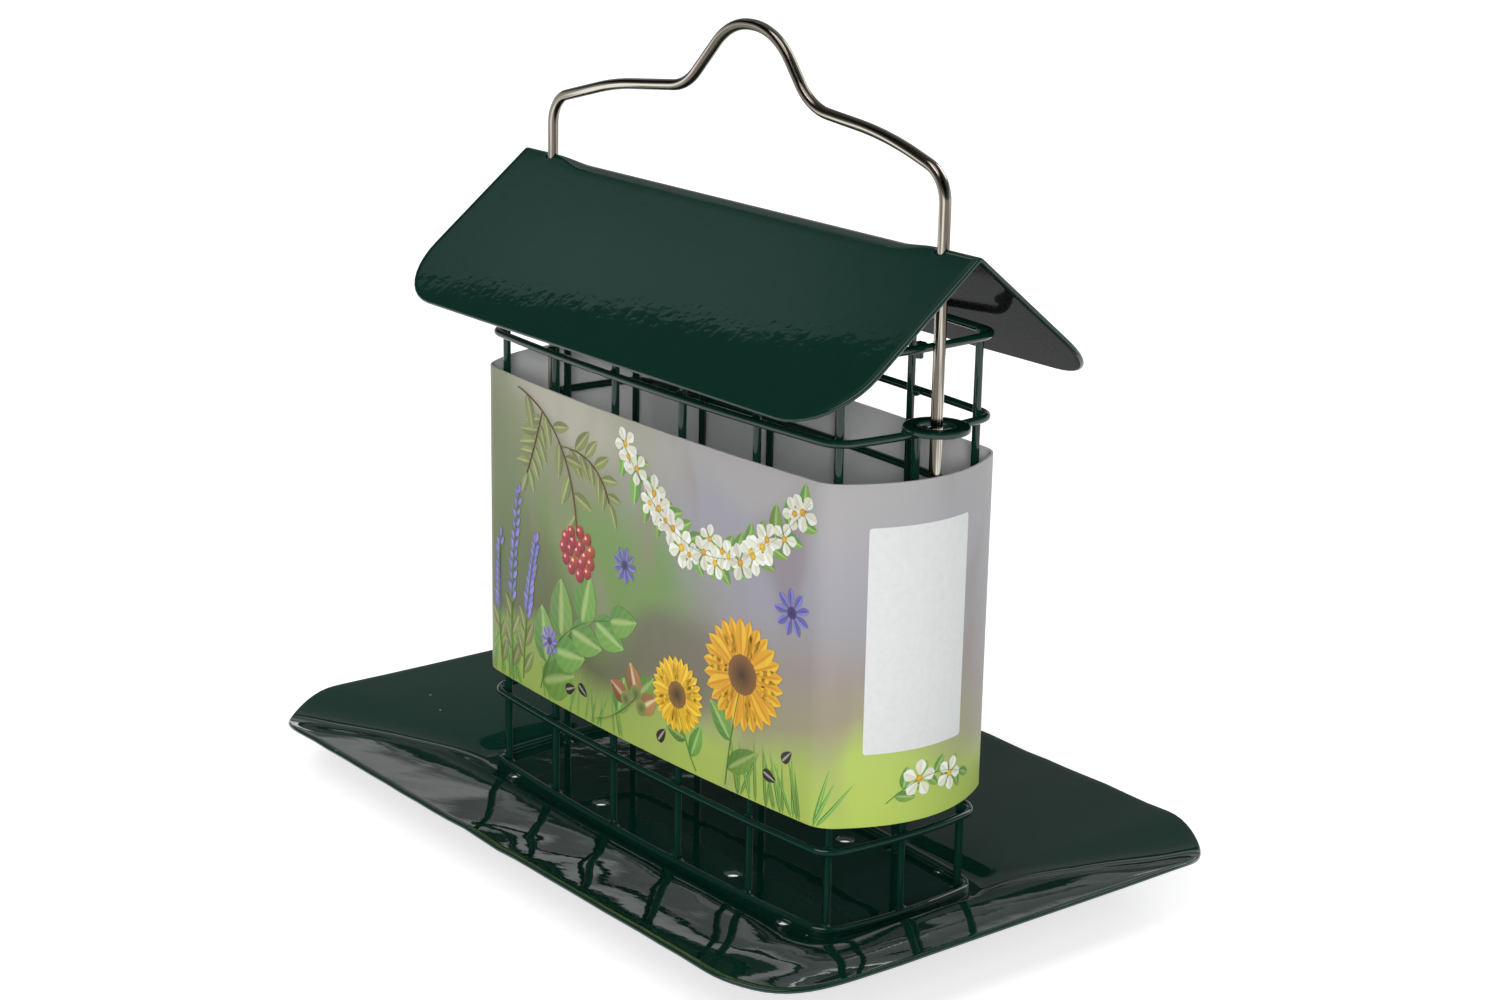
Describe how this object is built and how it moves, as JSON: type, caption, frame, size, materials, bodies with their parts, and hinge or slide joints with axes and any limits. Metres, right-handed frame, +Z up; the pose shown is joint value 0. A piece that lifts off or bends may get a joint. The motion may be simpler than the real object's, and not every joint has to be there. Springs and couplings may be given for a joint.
{
  "type": "suet feeder",
  "caption": "Hanging wire-cage suet feeder with a dished tray, a lifting pitched roof, a sliding wire hanger and a printed card sleeve.",
  "frame": {"origin": "centre of the bounding box on the ground plane, which is the centre of the tray's flat underside", "axes": "+X along the long side to the right, +Y to the back, +Z up; the pictured long face looks along -Y"},
  "size_m": [0.2054, 0.1358, 0.1903],
  "materials": {
    "green_coat": "glossy dark green powder coat",
    "bright_steel": "bright drawn wire",
    "printed_card": "satin printed card"
  },
  "bodies": {
    "cage": {"tray": "green_coat", "ring_1": "green_coat", "ring_2": "green_coat", "ring_3": "green_coat", "ring_4": "green_coat", "ring_5": "green_coat", "ring_6": "green_coat", "ring_7": "green_coat", "ring_8": "green_coat", "upright_front_1": "green_coat", "upright_front_2": "green_coat", "upright_front_3": "green_coat", "upright_front_4": "green_coat", "upright_front_5": "green_coat", "upright_front_6": "green_coat", "upright_back_1": "green_coat", "upright_back_2": "green_coat", "upright_back_3": "green_coat", "upright_back_4": "green_coat", "upright_back_5": "green_coat", "upright_back_6": "green_coat", "upright_left_end": "green_coat", "upright_right_end": "green_coat", "cut_stub_left": "green_coat", "cut_stub_right": "green_coat", "eye_washer_left": "green_coat", "eye_washer_right": "green_coat", "card_sleeve": "printed_card"},
    "roof": {"roof": "green_coat"},
    "hanger": {"hanger": "bright_steel"}
  },
  "joints": [
    {"name": "roof_lift", "type": "slide", "parent": "cage", "child": "roof", "axis": [0, 0, 1], "range_m": [0, 0.04]},
    {"name": "hanger_slide", "type": "slide", "parent": "roof", "child": "hanger", "axis": [0, 0, 1], "range_m": [0, 0.04]}
  ]
}
